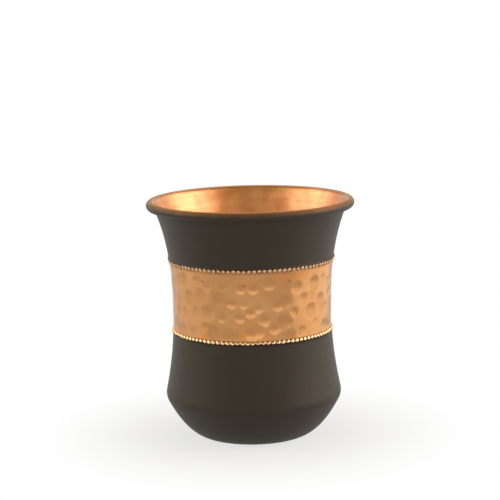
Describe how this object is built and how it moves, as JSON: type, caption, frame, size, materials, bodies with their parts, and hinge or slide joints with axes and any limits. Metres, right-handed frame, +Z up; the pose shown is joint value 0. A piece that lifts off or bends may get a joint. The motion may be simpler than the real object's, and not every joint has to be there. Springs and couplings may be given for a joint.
{
  "type": "copper tumbler",
  "caption": "Waisted copper drinking tumbler with a flared wired lip, a hammered band between two beaded wires and a dark matt coat above and below it.",
  "frame": {"origin": "middle of the foot, on the surface that the tumbler stands on", "axes": "+Z up the tumbler's axis, -Y towards the front, +X to the right; the band's seam is at the back, at +Y"},
  "size_m": [0.084, 0.084, 0.0966],
  "materials": {
    "cup_copper": "satin spun copper, brushed round the cup",
    "wire_copper": "drawn copper wire",
    "matt_coat": "dark brown-black stoved matt coat",
    "band_copper": "hammered copper, satin, lightly tarnished",
    "bead_copper": "polished copper beads, tarnished between"
  },
  "bodies": {
    "root": {"cup_shell": "cup_copper", "rim_wire": "wire_copper", "upper_coat": "matt_coat", "lower_coat": "matt_coat", "hammered_band": "band_copper", "upper_bead_wire": "bead_copper", "lower_bead_wire": "bead_copper"}
  },
  "joints": []
}
